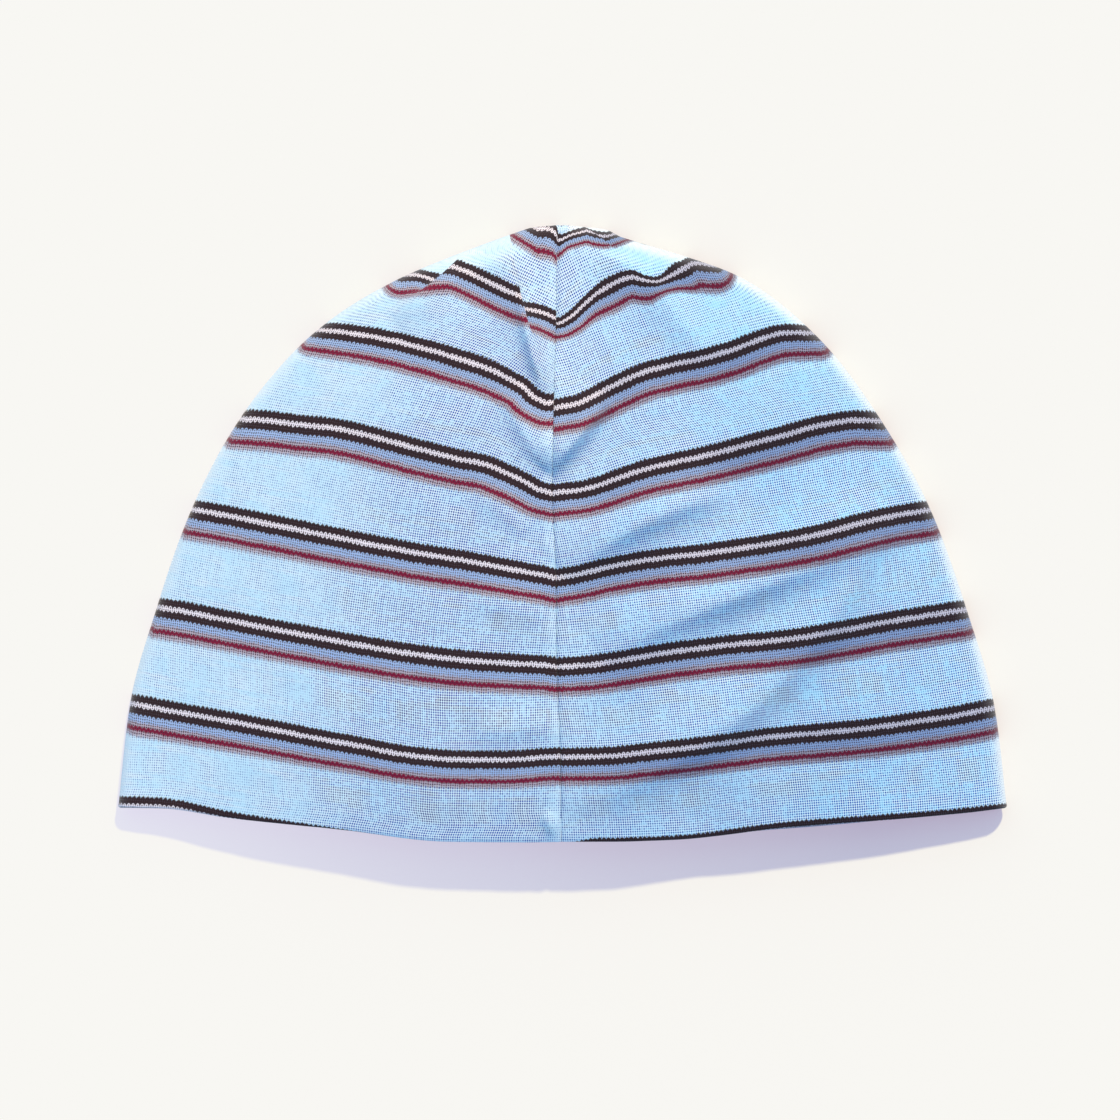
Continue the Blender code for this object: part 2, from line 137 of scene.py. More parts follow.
# How much narrower than on the flat cloth the stripes near the crown look, along each course
SQUEEZE_SHARES = (0.0, 0.15, 0.3, 0.45, 0.55, 0.7, 1.0)
STRIPE_SQUEEZE = {
    "left": {
        6: (1.36, 1.26, 1.2, 1.2, 1.22, 1.25, 1.35),
        7: (1.0, 1.0, 1.05, 1.05, 1.05, 1.05, 1.05),
    },
    "right": {
        6: (1.74, 1.63, 1.18, 1.32, 1.95, 1.05, 1.5),
        7: (1.5, 2.1, 2.1, 2.1, 2.1, 2.1, 2.1),
    },
}

# Creases of the front wall. A crease runs from its start past its middle to its end, given
# as shares of half of the width and of the length. It rises gently on the left of that run
# and drops steeply on its right. Its height, soft and steep are shares of the crease sizes.
CREASE_COLUMNS = ("name", "start_x", "start_y", "middle_x", "middle_y", "end_x", "end_y",
                  "height", "soft", "steep")
CREASES = (
    ("crown_pleat_left", -0.07, 0.25, -0.098, 0.37, -0.130, 0.51, 0.75, 0.55, 0.22),
    ("crown_tuck_left", -0.260, 0.46, -0.315, 0.390, -0.38, 0.345, 0.80, 0.55, 0.24),
    ("crown_valley_left", -0.092, 0.385, -0.071, 0.304, -0.040, 0.222, 1.05, 0.32, 0.15),
    ("crown_ridge_right", 0.33, 0.28, 0.195, 0.405, 0.075, 0.480, 0.75, 0.55, 0.30),
    ("seam_pull_upper_left", -0.140, 0.235, -0.083, 0.160, -0.030, 0.100, 0.70, 0.55, 0.26),
    ("seam_pull_upper_right", -0.030, 0.095, 0.034, 0.153, 0.105, 0.220, 1.75, 0.55, 0.18),
    ("seam_pull_middle_left", -0.21, 0.070, -0.135, 0.040, -0.075, 0.000, 0.34, 0.50, 0.30),
    ("seam_pull_lower_left", -0.21, -0.108, -0.11, -0.123, -0.030, -0.134, 0.30, 0.50, 0.28),
    ("seam_pull_hem_left", -0.20, -0.322, -0.10, -0.314, -0.01, -0.300, 0.34, 0.45, 0.27),
    ("hem_notch_left", -0.042, -0.445, -0.031, -0.466, -0.020, -0.486, 0.40, 0.18, 0.13),
    ("seam_pull_middle_right", 0.004, -0.068, 0.170, 0.014, 0.380, 0.068, 1.30, 0.85, 0.34),
    ("side_wave_right", 0.080, -0.195, 0.380, -0.102, 0.790, 0.008, 1.35, 0.85, 0.36),
    ("long_wave_right", 0.002, -0.440, 0.448, -0.264, 0.735, 0.050, 1.28, 0.95, 0.40),
    ("hem_dip_right", 0.38, -0.64, 0.31, -0.48, 0.24, -0.34, -0.45, 1.30, 1.10),
)
CREASE_STEPS = 16
MOTTLE_SCALES = ((13 * MM, 0.65), (5 * MM, 0.35))
CREASE_TAPER = 0.85
CREASE_FADE = 1.6

# Pleats, where the cloth on one side of a line laps over the other. The courses slip by a
# share of a repeat across the line, fading over a reach that is a share of the crease reach.
PLEAT_COLUMNS = ("name", "start_x", "start_y", "middle_x", "middle_y", "end_x", "end_y",
                 "lap", "slip", "reach")
PLEATS = {
    "left": (
        ("crown_pleat", -0.0507, 0.290, -0.0891, 0.375, -0.122, 0.500, 1.0, 0.14, 1.3),
        ("crown_tuck", -0.335, 0.385, -0.274, 0.418, -0.205, 0.468, -0.9, -0.20, 1.0),
    ),
    "right": (
        ("crown_ridge", 0.195, 0.405, 0.128, 0.454, 0.055, 0.495, 0.0, 0.04, 0.7),
    ),
}
PLEAT_EDGE = 0.05
PLEAT_START = 0.45

# The mesh of a panel
FRONT_COLUMNS = 150
BACK_STEP = 5
FOLD_ANGLES = (78.0, 66.0, 54.0, 42.0, 30.0, 20.0, 10.0, 0.0)
ROWS_PER_COURSE = 24
INNER_STEP = 4
CROWN_ROWS = (7.1, 7.2, 7.3, 7.4, 7.5, 7.6, 7.68, 7.76, 7.83, 7.89, 7.95, 8.0)
FOLD_SHARE_LIMIT = 0.45
LEAST_FACING = 0.3
LIP_ANGLES = (18.0, 54.0, 90.0, 126.0, 162.0)
LIP_LENGTH = 1.3

# The seam allowance runs between two courses. Its cross-section has these stops, as shares
# of its reach from the seam, and thins towards its cut edges.
ALLOWANCE_COURSES = (0.2, 6.6)
ALLOWANCE_STOPS = {"left": (1.0, 0.97, 0.85, 0.6, 0.3, 0.0), "right": (0.0, 0.5, 0.85, 1.0)}
ALLOWANCE_EDGE = 0.45

# The tip of the seam: how far across and up its middle lies in mm, and along as a share of
# the length, its radii in mm and its course
TIP_PLACE = (0.2, 0.4905, 5.4)
TIP_RADII = (1.7, 1.5, 1.1)
TIP_COURSE = 7.36

# What the mesh says of the knit at each of its points, with its shares of painted shade and
# painted sheen
KNIT_VALUES = ("course", "wale", "plain", "span", "pleat_a", "slip_a", "pleat_b", "slip_b",
               "open", "deep", "pale")

# The look of each panel: how open its knit is, how far that closes outwards from a course on
# and over the seam allowance, how strong its painted shade is towards the seam and towards
# the side fold, and how strong the painted sheen is that pales its side fold
LOOK_COLUMNS = ("open", "closing", "closes_from", "backed", "painted_shade_inner", "painted_shade_outer", "pale")
LOOKS = {
    "left": (0.95, 0.62, -9.0, 0.5, 0.0, 0.0, 0.33),
    "right": (0.82, 0.40, 3.0, 0.0, 0.5, 0.4, 0.75),
}

# The noises that make the knit uneven: how often each changes in a stitch and in a repeat,
# its detail, and its weight in how open the stitches are
NOISE_COLUMNS = ("name", "stitch", "repeat", "detail", "weight")
NOISES = (
    ("patch", 0.16, 4.0, 3.0, 1.6),
    ("upright", 1.1, 1.8, 1.0, 1.1),
    ("level", 0.09, 20.0, 1.0, 0.6),
)

# The stripes of a group, from the top: yarn, its lower edge in mm under the middle of the
# white one, how soft that edge is, and the colour and the strength of the holes in the yarn.
# The last yarn is the ground, which all the knit is made of between two groups.
STRIPE_COLUMNS = ("yarn", "edge", "soft", "hole", "strength")
STRIPES = (
    ("light_blue", -3.05, 0.26, "hole", 0.0),
    ("dark_brown", -0.80, 0.12, "speck", 0.10),
    ("white", 0.58, 0.12, "ghost", 0.60),
    ("dark_brown", 2.74, 0.14, "speck", 0.10),
    ("mid_blue", 4.90, 0.45, "ghost", 0.60),
    ("mauve", 6.05, 0.30, "ghost", 1.00),
    ("red", 7.50, 0.35, "ghost", 0.50),
    ("mauve", 9.10, 0.90, "ghost", 0.90),
    ("light_blue", 99.0, 1.00, "hole", 0.0),
)
ARCH_HEIGHT = 0.75
ARCH_MIDDLE = 0.835
ARCH_SHARPNESS = 0.55
YARN_WOBBLE = 0.6
COURSE_HEIGHT = 0.72

# The holes between the stitches and the lines that join them. The ghost of the stripes that
# lie beneath sinks by a share of a repeat with each course. The knit has a low bump and sheen.
PIT_SHARPNESS = 1.4
PIT_STRENGTH = 2.05
COLUMN_LINES = 0.13
ROW_LINES = 0.02
GHOST_SINKS = 0.045
GHOST_REACH = (0.17, 0.06)
BUMP = {"Strength": 0.6, "Distance": 0.2 * MM}
SOFT_CLOTH = {"Specular IOR Level": 0.1, "Sheen Weight": 0.5, "Sheen Roughness": 0.35,
              "Sheen Tint": (0.92, 0.96, 1.0, 1.0)}
KNIT_COLOURS = ("light_blue", "dark_brown", "white", "mid_blue", "mauve", "red", "hole", "ghost",
         "speck", "lit", "shade", "dusk", "stretched")

# The stage: a camera straight above, as high as stated and as wide as the photograph at the
# floor, a warm key light from behind the crown, and a soft blue surround
CAMERA_PLACE = (-0.00073, -0.00747, 2.0)
VIEW_WIDTH = 0.32827
SENSOR_WIDTH = 36.0
KEY_DIRECTION = (0.30, 1.0, 0.94)
KEY_COLOUR = (1.0, 0.736, 0.444)
KEY_STRENGTH = 3.38
SURROUND = (0.360, 0.550, 0.760, 1.0)
BACKDROP = (0.90, 0.89, 0.88, 1.0)

# The floor reflects a share of its colour, less of it on the left, and glows with the rest.
# What is lit on it is the share times the light on a flat surface.
FLOOR_REACH = 4.0
FLAT_LIGHT = 1.08
FLOOR_SHARES = ((0.238, 0.300, 0.060), (0.603, 0.754, 0.637))
SHARES_START = -0.13
SHARES_RUN = 0.22


def linear(colour):
    """A display colour of 0 to 255 as scene values."""
    values = []
    for channel in colour:
        c = channel / 255
        values.append(c / 12.92 if c <= 0.04045 else ((c + 0.055) / 1.055) ** 2.4)
    return tuple(values)


def length(name, description, default):
    """A property for a size in metres."""
    return bpy.props.FloatProperty(name=name, description=description, default=default,
                                   unit="LENGTH", precision=5)


def thread(name, description, colour):
    """A property for one colour: of a yarn, of painted shade, sheen or highlight, or of the floor.
    """
    return bpy.props.FloatVectorProperty(name=name, description=description, subtype="COLOR",
                                         size=3, min=0.0, max=1.0, default=linear(colour))


class BeanieSizes(bpy.types.PropertyGroup):
    """The sizes of the hat that a user would change"""

    width: length("Width", "From one hem corner to the other, laid flat",
                  HEM_CORNERS[1] - HEM_CORNERS[0])
    length: length("Length", "From the hem to the crown, laid flat", 181 * MM)
    wall: length("Wall", "Thickness of the doubled knit", 1.8 * MM)
    fold_radius: length("Fold radius", "Radius of the side folds and the crown fold", 3.0 * MM)
    dome_rise: length("Dome rise", "How far the front wall stands above the folds", 18.0 * MM)
    hem_roll: length("Hem roll", "How far the hem rounds out past its first course", 0.7 * MM)
    seam_gap: length("Seam gap", "Gap between the two panels in the seam", 0.04 * MM)
    seam_offset: length("Seam offset", "Where the seam lies, from the middle", -1.9 * MM)
    seam_lift: length("Seam lift", "How far the allowance lifts the cloth over it", 0.15 * MM)
    groove_depth: length("Groove depth", "How far the cloth dips at the seam", 0.5 * MM)
    groove_reach: length("Groove reach", "How far from the seam the dip reaches", 0.8 * MM)
    crease_height: length("Crease height", "Height of the tallest creases", 4.2 * MM)
    crease_reach: length("Crease reach", "How far a soft crease spreads", 13.0 * MM)
    lap_height: length("Lap height", "Step where a pleat laps over its neighbour", 1.1 * MM)
    mottle: length("Mottle", "Height of the small unevenness of the cloth", 0.18 * MM)
    repeat: length("Stripe repeat", "From one group of stripes to the next", 29.6 * MM)
    wale: length("Wale", "Width of one column of stitches", 1.32 * MM)
    allowance_left: length("Allowance left", "Seam allowance turned to the left", 4.5 * MM)
    allowance_right: length("Allowance right", "Seam allowance left on the right", 1.6 * MM)
    allowance_thickness: length("Allowance thickness", "The doubled allowance", 1.0 * MM)
    allowance_clearance: length("Allowance clearance", "Gap to the wall over it", 0.3 * MM)


class BeanieColours(bpy.types.PropertyGroup):
    """The yarn colours, the colours of painted shade, sheen and highlights, and the floor"""

    light_blue: thread("Light blue", "The ground of the knit", (190, 230, 255))
    dark_brown: thread("Dark brown", "The two wide stripes of a group", (48, 34, 37))
    white: thread("White", "The narrow stripe between the dark ones", (234, 230, 243))
    mid_blue: thread("Mid blue", "The stripe under the dark ones", (160, 188, 232))
    mauve: thread("Mauve", "The mixed courses round the red one", (182, 173, 190))
    red: thread("Red", "The lowest stripe of a group", (130, 28, 60))
    hole: thread("Hole", "What shows through the holes of the knit", (40, 64, 170))
    ghost: thread("Ghost", "What shows through where stripes lie beneath", (58, 36, 54))
    speck: thread("Speck", "Light fibres on the dark stripes", (112, 106, 132))
    # Painted highlight on the threads, which the random tone noise also mixes in
    lit: thread("Lit", "The bright backs of the threads between holes", (226, 244, 255))
    # Painted shade colours, multiplied over the right half where its dome faces away from the
    # light
    shade: thread("Shade", "Multiplied over the ground of the deeper right half", (212, 243, 255))
    dusk: thread("Dusk", "Multiplied over the stripes of the deeper right half", (195, 206, 222))
    # Painted sheen: the pale colour that the side folds are mixed towards
    stretched: thread("Stretched", "The knit pulled round the side folds", (236, 242, 249))
    floor: thread("Floor", "The surface that the hat lies on", (248, 247, 243))


def monotone(knots, values, at):
    """Smooth curve through the values that never swings past them."""
    knots = np.asarray(knots, float)
    values = np.asarray(values, float)
    step = np.diff(knots)
    slope = np.diff(values) / step
    tangent = np.zeros(len(knots))
    tangent[0] = slope[0]
    tangent[-1] = slope[-1]
    for k in range(1, len(knots) - 1):
        if slope[k - 1] * slope[k] > 0:
            first = 2 * step[k] + step[k - 1]
            second = step[k] + 2 * step[k - 1]
            tangent[k] = (first + second) / (first / slope[k - 1] + second / slope[k])
    at = np.clip(np.asarray(at, float), knots[0], knots[-1])
    cell = np.clip(np.searchsorted(knots, at, side="right") - 1, 0, len(knots) - 2)
    width = step[cell]
    a = (at - knots[cell]) / width
    return ((1 + 2 * a) * (1 - a) ** 2 * values[cell] + a * (1 - a) ** 2 * width * tangent[cell]
            + a * a * (3 - 2 * a) * values[cell + 1] + a * a * (a - 1) * width * tangent[cell + 1])


def rise(values, start=0.0, reach=1.0):
    """A smooth rise from 0 at the start to 1 a reach further on."""
    a = np.clip((values - start) / reach, 0, 1)
    return a * a * (3 - 2 * a)


def bell(values, reach):
    """A smooth fall from 1 at nought to both sides."""
    return np.exp(-(values / reach) ** 2)


def unit(vectors):
    """Vectors scaled to length 1."""
    return vectors / np.maximum(np.linalg.norm(vectors, axis=-1, keepdims=True), 1e-12)


def named(columns, table):
    """The rows of a table with the names of its columns."""
    return [dict(zip(columns, row)) for row in table]


def row_at(rows, course):
    """The table's columns, read at any course by name."""
    knots = [row[0] for row in rows]
    return {name: float(monotone(knots, [row[k] for row in rows], course))
            for k, name in enumerate(ROW_COLUMNS)}


def distance_to_line(points, line):
    """Distance, place along the line (0 to 1) and side of each point, left being positive."""
    flat = points.reshape(-1, 2)
    best = np.full(len(flat), 1e9)
    place = np.zeros(len(flat))
    side = np.ones(len(flat))
    runs = np.diff(line, axis=0)
    lengths = np.linalg.norm(runs, axis=1)
    before = np.concatenate([[0.0], np.cumsum(lengths)])
    for k, run in enumerate(runs):
        if lengths[k] < 1e-9:
            continue
        offset = flat - line[k]
        a = np.clip(offset @ run / lengths[k] ** 2, 0, 1)
        gap = np.linalg.norm(offset - a[:, None] * run, axis=1)
        turn = run[0] * offset[:, 1] - run[1] * offset[:, 0]
        nearer = gap < best
        best = np.where(nearer, gap, best)
        place = np.where(nearer, (before[k] + a * lengths[k]) / before[-1], place)
        side = np.where(nearer, np.where(turn >= 0, 1.0, -1.0), side)
    shape = points.shape[:-1]
    return best.reshape(shape), place.reshape(shape), side.reshape(shape)


def line_through(sizes, fold):
    """Points of a fold on a smooth curve through its start, middle and end."""
    across = sizes.width / 2
    start = np.array([fold["start_x"] * across, fold["start_y"] * sizes.length])
    middle = np.array([fold["middle_x"] * across, fold["middle_y"] * sizes.length])
    end = np.array([fold["end_x"] * across, fold["end_y"] * sizes.length])
    pull = 2 * middle - (start + end) / 2
    a = np.linspace(0, 1, CREASE_STEPS + 1)[:, None]
    return (1 - a) ** 2 * start + 2 * a * (1 - a) * pull + a * a * end


class PanelShape:
    """The surface of one side panel, as grids of points and of knit values."""

    def __init__(self, sizes, side):
        self.sizes = sizes
        self.side = side
        self.rows = ROWS[side]
        self.sign = -1 if side == "left" else 1
        self.courses = [k / ROWS_PER_COURSE for k in range(LAST_STRIPE * ROWS_PER_COURSE + 1)]
        self.courses += list(CROWN_ROWS)
        self.table = [row_at(self.rows, course) for course in self.courses]
        front = [(k / FRONT_COLUMNS) ** 1.08 for k in range(FRONT_COLUMNS + 1)]
        self.places = [("front", share) for share in front]
        self.places += [("front_fold", angle) for angle in FOLD_ANGLES]
        self.edge = len(self.places) - 1
        self.places += [("back_fold", angle) for angle in reversed(FOLD_ANGLES[:-1])]
        self.places += [("back", share) for share in reversed(front[::BACK_STEP])]
        self.lay_out_rows()
        self.raise_surface()
        self.find_normals()
        self.count_stitches()

    def lay_out_rows(self):
        """Plan positions of the mesh points, and their shares along the rows."""
        sizes = self.sizes
        half = sizes.width / 2
        rim = np.array([(row["edge_x"] * half, row["edge"] * sizes.length)
                        for row in self.table])
        rim_runs = np.gradient(rim, axis=0)
        hem = np.array([self.table[0][name] for name in SHARE_COLUMNS])
        is_fold = np.array([kind.endswith("fold") for kind, value in self.places])
        value = np.array([value for kind, value in self.places])
        self.is_back = np.array([kind.startswith("back") for kind, value in self.places])
        self.plan = np.zeros((len(self.courses), len(self.places), 2))
        self.shares = np.zeros(self.plan.shape[:2])
        for i, (course, row) in enumerate(zip(self.courses, self.table)):
            seam_x = sizes.seam_offset + row["seam_x"] * half + self.sign * sizes.seam_gap / 2
            front = np.array([row[name] for name in SHARE_COLUMNS])
            back = front + max(1 - course, 0) ** 2 * (np.array(BACK_HEM[self.side]) - hem)
            run = np.array([rim[i, 0] - seam_x, (front[-1] - front[0]) * sizes.length])
            normal = np.array([rim_runs[i, 1], -rim_runs[i, 0]])
            span = np.linalg.norm(run)
            facing = max(abs(run @ normal) / (span * np.linalg.norm(normal)), LEAST_FACING)
            reach = min(row["fold"] * sizes.fold_radius / facing / span, FOLD_SHARE_LIMIT)
            shares = np.where(is_fold, 1 - reach * (1 - np.cos(np.radians(value))),
                              value * (1 - reach))
            heights = np.where(self.is_back, monotone(ROW_SHARES, back, shares),
                               monotone(ROW_SHARES, front, shares)) * sizes.length
            self.shares[i] = shares
            self.plan[i, :, 0] = seam_x + run[0] * shares
            self.plan[i, :, 1] = heights + (sizes.hem_roll if i == 0 else 0.0)
        crown = self.plan[-1, :self.edge][::-1]
        self.rim = np.vstack([self.plan[:, self.edge], crown])

    def raise_surface(self):
        """Heights of the outer surface: folds, dome, creases, pleats and seam groove."""
        sizes = self.sizes
        plan = self.plan
        column = {name: np.array([[row[name]] for row in self.table]) for name in ROW_COLUMNS}
        radius = sizes.fold_radius * (1 + (column["fold"] - 1) * self.shares ** 2)
        depth, self.rim_place, inner = distance_to_line(plan, self.rim)
        rounding = np.sqrt(1 - (1 - np.clip(depth / radius, 0, 1)) ** 2)
        from_seam = np.abs(plan[:, :, 0] - plan[:, :1, 0])
        groove = sizes.groove_depth * bell(from_seam, sizes.groove_reach)
        inland = rise(depth / radius, 1, CREASE_FADE)
        relief = self.creases(plan) + self.laps(plan) + self.mottle(plan) - groove
        if self.side == "left":
            relief += sizes.seam_lift * (1 - rise(from_seam / sizes.allowance_left * 3, 2))
        self.depth = depth
        self.bend = np.clip(depth / radius, 0, 1)
        front = (radius * (1 + rounding) + column["dome"] * sizes.dome_rise
                 * (1 - self.shares ** 2) + inland * relief)
        height = np.where(self.is_back[None, :], radius * (1 - rounding), front)
        height[-1] = sizes.fold_radius
        height[:, self.edge] = radius[:, self.edge]
        self.outer = np.dstack([plan, height])

    def creases(self, plan):
        """How far the creases lift the front wall at each plan point."""
        relief = np.zeros(plan.shape[:-1])
        for crease in named(CREASE_COLUMNS, CREASES):
            gap, place, side = distance_to_line(plan, line_through(self.sizes, crease))
            reach = np.where(side > 0, crease["soft"], crease["steep"]) * self.sizes.crease_reach
            taper = np.sin(np.pi * np.clip(place, 0, 1)) ** CREASE_TAPER
            height = crease["height"] * self.sizes.crease_height
            relief += height * taper * np.exp(-(gap / reach) ** np.where(side > 0, 2.0, 1.5))
        return relief

    def laps(self, plan):
        """The steps where pleats lap over, with each pleat's distance and slip kept."""
        relief = np.zeros(plan.shape[:-1])
        self.pleats = []
        for pleat in named(PLEAT_COLUMNS, PLEATS[self.side]):
            gap, place, side = distance_to_line(plan, line_through(self.sizes, pleat))
            reach = pleat["reach"] * self.sizes.crease_reach
            fade = np.exp(-gap / reach)
            strength = rise(place, 0, PLEAT_START)
            across = gap * side * np.sign(pleat["lap"])
            edge = PLEAT_EDGE * self.sizes.crease_reach
            relief += (abs(pleat["lap"]) * self.sizes.lap_height * strength
                       * np.exp(-np.maximum(across, 0) / (0.5 * reach))
                       * rise(across, -edge, 2 * edge))
            self.pleats.append((gap * side, pleat["slip"] * (strength * fade)))
        return relief

    def mottle(self, plan):
        """The small unevenness of soft cloth."""
        relief = np.zeros(plan.shape[:-1])
        for scale, share in MOTTLE_SCALES:
            for i in range(plan.shape[0]):
                for j in range(self.edge):
                    x, y = plan[i, j]
                    relief[i, j] += share * noise.noise(Vector((x / scale, y / scale, 0.7)))
        return relief * self.sizes.mottle * 2

    def find_normals(self):
        """Outward directions, level along the rim and square at the seam."""
        outer = self.outer
        normals = unit(np.cross(np.gradient(outer, axis=1), np.gradient(outer, axis=0)))
        normals *= self.sign
        rim_run = unit(np.gradient(self.rim, axis=0))
        rim_out = np.stack([self.sign * rim_run[:, 1], -self.sign * rim_run[:, 0],
                            np.zeros(len(rim_run))], axis=1)
        runs = np.linalg.norm(np.diff(self.rim, axis=0), axis=1)
        place = np.concatenate([[0.0], np.cumsum(runs)]) / runs.sum()
        out = np.stack([np.interp(self.rim_place, place, rim_out[:, k]) for k in range(3)], 2)
        upright = np.where(self.is_back, -1.0, 1.0)[None, :] * np.sqrt(1 - (1 - self.bend) ** 2)
        bent = out * (1 - self.bend)[:, :, None] + np.dstack([0 * upright, 0 * upright, upright])
        share = rise(2 - 2 * self.bend)[:, :, None]
        normals = unit(share * bent + (1 - share) * normals)
        rows = len(outer)
        normals[:, self.edge] = rim_out[:rows]
        normals[-1, :self.edge] = rim_out[rows:][::-1]
        for j in (0, outer.shape[1] - 1):
            normals[:, j, 0] = 0.0
            normals[:, j] = unit(normals[:, j])
        normals[-1, 0] = (0.0, 1.0, 0.0)
        self.normals = normals

    def count_stitches(self):
        """The knit values at every point, which the stripes and stitches are drawn from."""
        sizes = self.sizes
        steps = np.linalg.norm(np.diff(self.outer, axis=1), axis=2)
        along = np.concatenate([np.zeros((len(steps), 1)), np.cumsum(steps, axis=1)], axis=1)
        seam_y = self.plan[:, 0, 1]
        rise = np.abs([(row["half"] - row["seam"]) for row in self.table]) * sizes.length
        slope = rise / np.abs(self.plan[:, self.edge, 0] - self.plan[:, 0, 0]) * 2
        lean = np.concatenate([[0.0], np.cumsum(np.minimum(slope[:-1], 0.5) * np.diff(seam_y))])
        courses = np.array(self.courses)
        courses[0] = sizes.hem_roll / sizes.repeat
        over = np.maximum(courses - LAST_STRIPE, 0)
        plain = np.minimum(courses, LAST_STRIPE) + over * CROWN_COURSES
        spacing = np.maximum(np.gradient(self.plan[:, :, 1], plain, axis=0), 0.3 * sizes.repeat)
        plain = np.tile(plain[:, None], (1, len(self.places)))
        course = plain - self.shifts() * SHIFT_STEP / spacing
        hem = monotone(ROW_SHARES, HEM_COURSE[self.side], self.shares)
        level = self.spacing_of(plain)
        span = np.zeros_like(course)
        for k in range(LAST_STRIPE + 1):
            span = np.where(np.floor(plain) == k, self.row_mean(level, k, k + 1), span)
        self.knit = {
            "course": self.draw_stripes(course + hem * np.clip(1 - course, 0, 1), level),
            "wale": along + lean[:, None],
            "plain": plain,
            "span": span,
            "pleat_b": np.zeros_like(course),
            "slip_b": np.zeros_like(course),
            **self.looks(courses[:, None], along, level / span),
        }
        for letter, (across, slip) in zip("ab", self.pleats):
            self.knit[f"pleat_{letter}"] = across
            self.knit[f"slip_{letter}"] = slip

    def looks(self, courses, along, crowding):
        """How open the knit is, and how much painted shade and painted sheen it takes, at every
        point.
        """
        look = dict(zip(LOOK_COLUMNS, LOOKS[self.side]))
        upper = rise(courses, look["closes_from"], 2.5)
        crown = rise(courses, 5.8, 0.7)
        inland = rise(self.shares, 0, 0.3)
        open_knit = look["open"] - look["closing"] * upper * rise(self.shares, 0.35, 0.35)
        open_knit *= 1 - look["backed"] * (1 - rise(along, 1.2 * MM, 3.6 * MM))
        # Painted sheen at the side fold: fewer holes near it, so the fold looks paler
        painted_sheen_fold = bell(self.depth, (2.6 + 5.0 * crown) * MM) * inland
        open_knit *= 1 - 0.85 * painted_sheen_fold
        open_knit *= 0.2 + 0.8 * rise(crowding, 0.45, 0.35)
        open_knit *= 1 - 0.5 * crown * rise(self.shares, 0.3, 0.4)
        # Painted shade on the right panel: darker away from the seam and towards the side fold,
        # where the dome faces away from the light
        deep = (look["painted_shade_inner"] * rise(along, 0, 22 * MM)
                + look["painted_shade_outer"] * rise(self.shares, 0.35, 0.3))
        # The pale share is painted sheen along the side fold
        return {"open": np.where(self.is_back[None, :], 0.5, open_knit), "deep": deep,
                "pale": look["pale"] * (bell(self.depth, 2.6 * MM) * inland)}

    def draw_stripes(self, course, level):
        """The courses, redrawn so that each stripe keeps its width along its own line."""
        repeat = self.sizes.repeat
        drawn = course.copy()
        walls = (range(self.edge + 1), range(len(self.places) - 1, self.edge - 1, -1))
        for wall in map(list, walls):
            for k in range(LAST_STRIPE + 1):
                apart = self.row_mean(level, k - 0.25, k + 0.08)[wall]
                squeeze = 0.5 + 0.5 * repeat / np.clip(apart, repeat / 2.2, repeat)
                squeeze = np.tile(squeeze, (len(course), 1))
                if k in STRIPE_SQUEEZE[self.side]:
                    squeeze = monotone(SQUEEZE_SHARES, STRIPE_SQUEEZE[self.side][k],
                                       self.shares[:, wall])
                here = np.clip(np.floor(course[:, wall] + 0.65), 0, LAST_STRIPE) == k
                points = self.plan[:, wall][here]
                line = self.white_line(course, k, wall)
                if k == LAST_STRIPE:
                    rise = CROWN_RISE[self.side]
                    line[-1] = line[-2] + repeat * np.array([self.sign, rise])
                    under = np.interp(self.sign * points[:, 0], self.sign * line[:, 0],
                                      line[:, 1]) - points[:, 1]
                else:
                    gap, place, side = distance_to_line(points, line)
                    under = -side * self.sign * gap
                under = under * squeeze[here]
                block = drawn[:, wall]
                block[here] = k - np.clip(under / repeat, -0.499, 0.499)
                drawn[:, wall] = block
        return drawn

    def white_line(self, course, k, wall):
        """Where a whole course runs in plan, from the seam out, carried on past both ends."""
        line = []
        for j in wall:
            up = course[:, j]
            i = int(np.clip(np.searchsorted(up, k), 1, len(up) - 1))
            share = (k - up[i - 1]) / max(up[i] - up[i - 1], 1e-6)
            line.append(self.plan[i - 1, j] + share * (self.plan[i, j] - self.plan[i - 1, j]))
        first = line[0] + 6 * (line[0] - line[6])
        last = line[-1] + 3 * (line[-1] - line[-4])
        return np.array([first, *line, last])

    def row_mean(self, values, low, high):
        """The mean of the values over a few courses at each place, evened along the row."""
        courses = np.array(self.courses)
        line = values[(courses >= low) & (courses <= high)].mean(axis=0)
        return np.convolve(np.pad(line, 4, "edge"), np.ones(9) / 9, "valid")

    def spacing_of(self, course):
        """How far apart two whole courses lie in plan, square to their run, at each point."""
        grids = (self.plan[:, :, 0], self.plan[:, :, 1], course)
        x_up, y_up, up = (np.gradient(grid, axis=0) for grid in grids)
        x_on, y_on, on = (np.gradient(grid, axis=1) for grid in grids)
        slope = np.hypot(on * y_up - up * y_on, up * x_on - on * x_up)
        return np.abs(x_on * y_up - x_up * y_on) / np.maximum(slope, 1e-12)

    def shifts(self):
        """How far the stripes are carried up at each point, in tenths of a mm."""
        still = (0,) * len(SHIFT_SHARES)
        table = {0: still, **STRIPE_SHIFTS[self.side], LAST_STRIPE + 1: still}
        known = sorted(table)
        last = len(self.shares) - 1
        lines = np.array([monotone(SHIFT_SHARES, table[course],
                                   self.shares[min(course * ROWS_PER_COURSE, last)])
                          for course in known])
        return np.array([monotone(known, column, self.courses) for column in lines.T]).T


